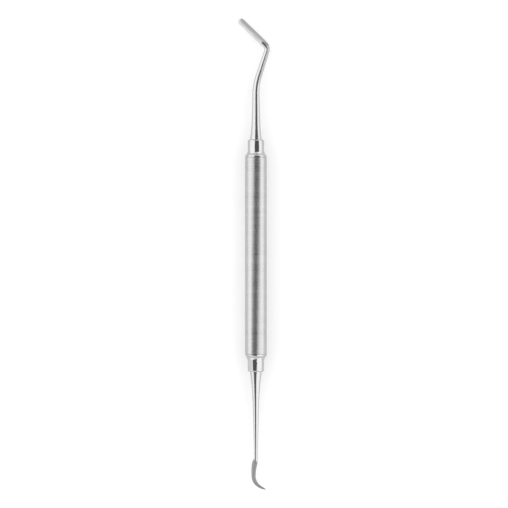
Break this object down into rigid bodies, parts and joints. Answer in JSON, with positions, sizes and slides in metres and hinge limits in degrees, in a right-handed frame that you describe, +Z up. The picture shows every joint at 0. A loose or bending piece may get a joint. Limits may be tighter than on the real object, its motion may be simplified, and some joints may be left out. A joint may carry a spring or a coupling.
{
  "type": "ligature instrument",
  "caption": "Double-ended steel hand instrument: knurled angled foot for pushing at one end, slim shank with a ground pointed hook at the other.",
  "frame": {"origin": "middle of the handle tube's axis", "axes": "+Y along the instrument towards the knurled foot, -Y towards the hook; both ends bend in the XY plane, the foot to -X and the hook's point to +X; +Z up as it lies on its handle"},
  "size_m": [0.0116, 0.1725, 0.008],
  "materials": {
    "satin_tube": "satin stainless steel, turned",
    "polished_neck": "polished stainless steel",
    "knurled_steel": "polished stainless steel shank, fine diamond knurl on the foot",
    "ground_steel": "polished stainless steel shank, satin ground blade"
  },
  "bodies": {
    "root": {"handle_tube": "satin_tube", "pusher_neck": "polished_neck", "hook_neck": "polished_neck", "pusher_end": "knurled_steel", "hook_end": "ground_steel"}
  },
  "joints": []
}
